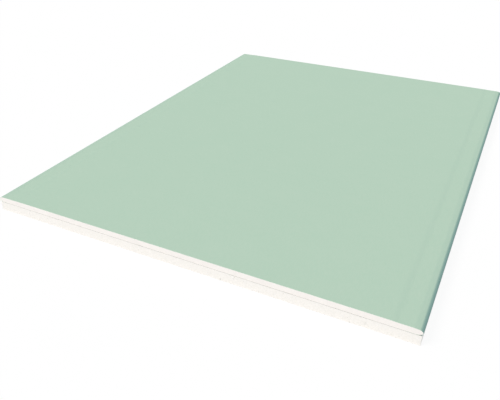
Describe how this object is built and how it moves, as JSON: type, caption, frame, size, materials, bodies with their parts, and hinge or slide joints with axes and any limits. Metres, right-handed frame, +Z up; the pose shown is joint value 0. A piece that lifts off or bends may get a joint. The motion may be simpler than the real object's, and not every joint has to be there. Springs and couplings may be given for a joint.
{
  "type": "foam-backed drywall sheet",
  "caption": "Moisture-resistant drywall sheet with green face paper, tapered half-round long edges and a bonded white rigid-foam backing.",
  "frame": {"origin": "on the floor, under the middle of the sheet: the centre of the foam's bottom face", "axes": "+X across the sheet towards a long edge, +Y along the sheet towards a cut end, +Z up out of the green face"},
  "size_m": [0.9, 1.2, 0.0325],
  "materials": {
    "rigid_foam": "white expanded polystyrene, hot-wire cut, matt with a fine bead pattern",
    "grey_back_paper": "uncoated grey recycled paper",
    "gypsum": "white cast gypsum, sawn ends, chalky and matt",
    "green_face_paper": "pale green moisture-resistant paper, matt and smooth"
  },
  "bodies": {
    "root": {"foam_backing": "rigid_foam", "back_paper": "grey_back_paper", "gypsum_core": "gypsum", "face_paper": "green_face_paper"}
  },
  "joints": []
}
